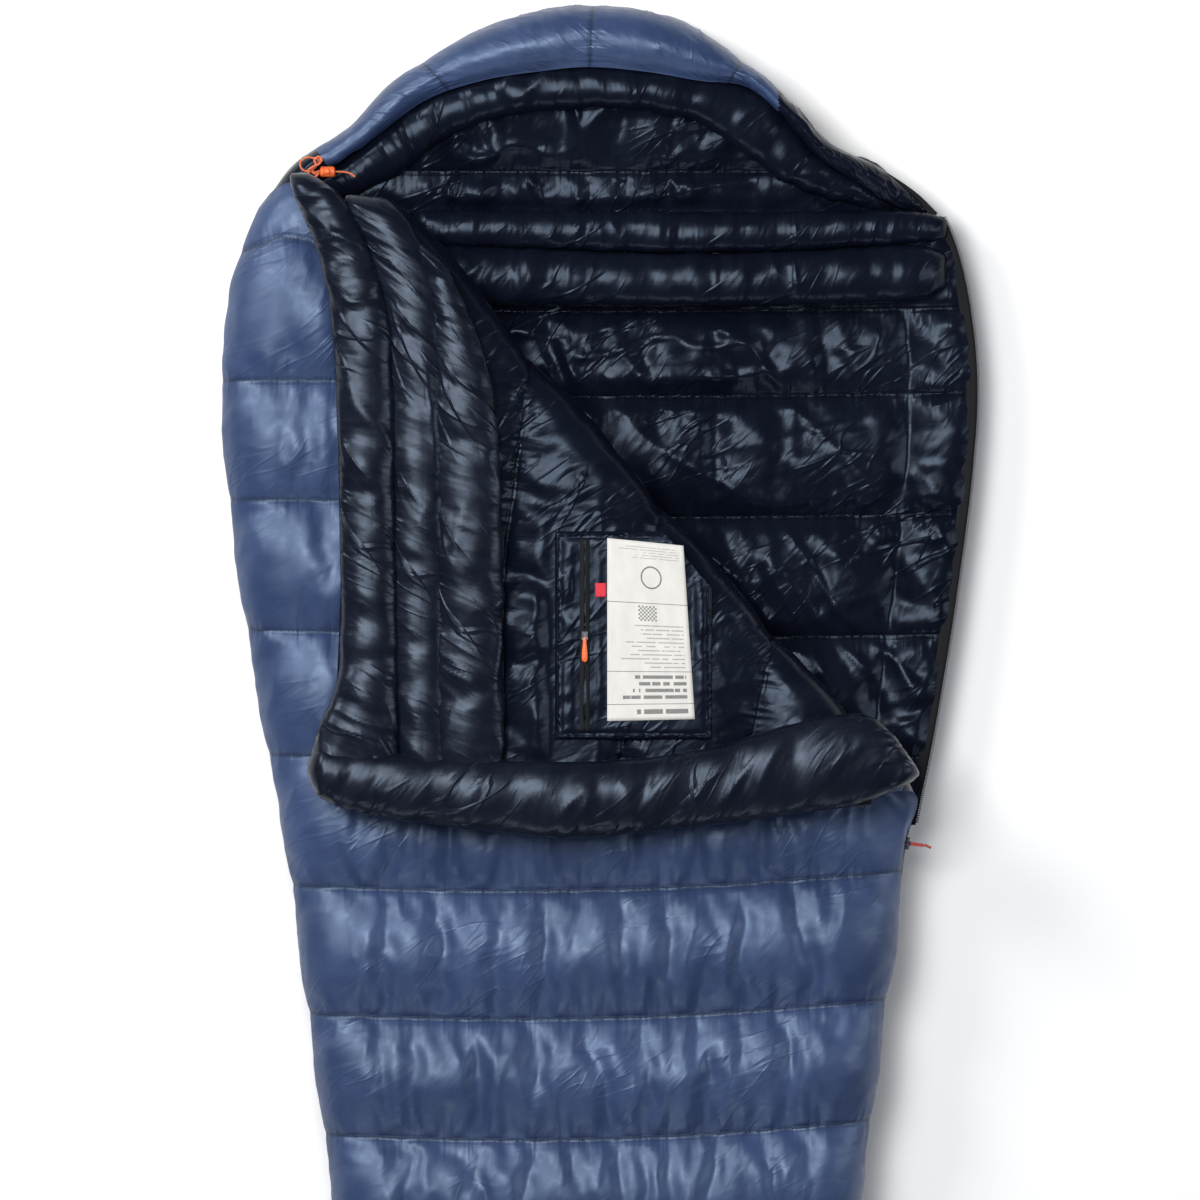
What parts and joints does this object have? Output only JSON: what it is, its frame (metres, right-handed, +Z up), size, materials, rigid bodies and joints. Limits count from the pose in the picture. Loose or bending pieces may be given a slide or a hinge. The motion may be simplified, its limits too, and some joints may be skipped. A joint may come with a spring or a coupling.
{
  "type": "mummy sleeping bag",
  "caption": "Down-filled mummy sleeping bag lying flat, unzipped, with the zip side of the front folded over, a drawn hood, collar tubes and an inner pocket.",
  "frame": {"origin": "middle of the bag's box on the ground it lies on", "axes": "+Y to the hood, +X to the zip side, +Z up from the ground"},
  "size_m": [0.8063, 2.15, 0.204],
  "materials": {
    "shell": "satin",
    "lining": "gloss",
    "zip_tape": "matte",
    "zip_teeth": "satin",
    "slider_metal": "satin",
    "cord_orange": "matte",
    "toggle_orange": "gloss",
    "pull_red": "matte",
    "label_white": "matte",
    "tab_red": "matte"
  },
  "bodies": {
    "bag": {"back_panel_1": "shell", "back_panel_2": "shell", "back_panel_3": "shell", "back_panel_4": "shell", "back_panel_5": "shell", "back_panel_6": "shell", "back_panel_7": "shell", "front_panel_1": "shell", "front_panel_2": "shell", "front_panel_3": "shell", "front_panel_4": "shell", "front_panel_5": "shell", "front_panel_6": "shell", "front_panel_7": "shell", "front_panel_8": "shell", "front_panel_9": "shell", "front_panel_10": "shell", "side_baffle_left": "shell", "side_baffle_right": "shell", "foot_end": "shell", "back_collar_tube_upper": "lining", "back_collar_tube_lower": "lining", "bag_zip_tape": "zip_tape", "bag_zip_teeth": "zip_teeth", "closed_zip_tape": "zip_tape", "closed_zip_chain": "zip_teeth", "zip_bottom_stop": "slider_metal"},
    "hood": {"hood_floor": "lining", "hood_crown_left": "shell", "hood_crown_top": "shell", "hood_crown_right": "shell", "hood_rim_roll": "lining", "hood_zip_tape": "zip_tape", "drawcord": "cord_orange", "drawcord_knot": "cord_orange"},
    "flap": {"flap_panel_1": "shell", "flap_panel_2": "shell", "flap_panel_3": "shell", "flap_panel_4": "shell", "neck_edge_roll": "lining", "collar_band": "lining", "collar_tube": "lining", "zip_draft_tube": "lining", "flap_zip_tape": "zip_tape", "flap_zip_teeth": "zip_teeth", "inner_pocket": "lining", "pocket_zip_tape": "zip_tape", "side_tab": "tab_red"},
    "pocket_slider": {"pocket_slider": "slider_metal"},
    "pocket_pull": {"pocket_pull": "toggle_orange"},
    "label": {"care_label": "label_white"},
    "zip_slider": {"zip_slider": "slider_metal"},
    "zip_pull": {"zip_pull": "slider_metal", "zip_pull_cord": "pull_red"},
    "cordlock": {"cordlock_body": "toggle_orange"},
    "cordlock_button": {"cordlock_button": "toggle_orange"}
  },
  "joints": [
    {"name": "flap_fold", "type": "hinge", "parent": "bag", "child": "flap", "pos_m": [-0.19, 0.835, 0.127], "axis": [-0.6615, 0.75, 0], "range_deg": [0, 150]},
    {"name": "hood_lift", "type": "hinge", "parent": "bag", "child": "hood", "pos_m": [0, 0.85, 0.05], "axis": [1, 0, 0], "range_deg": [0, 20]},
    {"name": "zip_slide", "type": "slide", "parent": "bag", "child": "zip_slider", "axis": [-0.1316, -0.9913, 0], "range_m": [0, 0.92]},
    {"name": "zip_pull_swing", "type": "hinge", "parent": "zip_slider", "child": "zip_pull", "pos_m": [0.32925, 0.18558, 0.0677], "axis": [0, 0, 1], "range_deg": [-80, 80]},
    {"name": "pocket_zip_slide", "type": "slide", "parent": "flap", "child": "pocket_slider", "axis": [0, 1, 0], "range_m": [-0.073, 0.095]},
    {"name": "pocket_pull_swing", "type": "hinge", "parent": "pocket_slider", "child": "pocket_pull", "pos_m": [-0.016, 0.404, 0.1774], "axis": [-1, 0, 0], "range_deg": [0, 150]},
    {"name": "label_flip", "type": "hinge", "parent": "flap", "child": "label", "pos_m": [0.053, 0.317, 0.1714], "axis": [-1, 0, 0], "range_deg": [-105, 0]},
    {"name": "cordlock_slide", "type": "slide", "parent": "hood", "child": "cordlock", "axis": [1, 0, 0], "range_m": [-0.008, 0.006]},
    {"name": "cordlock_press", "type": "slide", "parent": "cordlock", "child": "cordlock_button", "axis": [0, 0, -1], "range_m": [0, 0.002], "stiffness_N_per_m": 300}
  ]
}
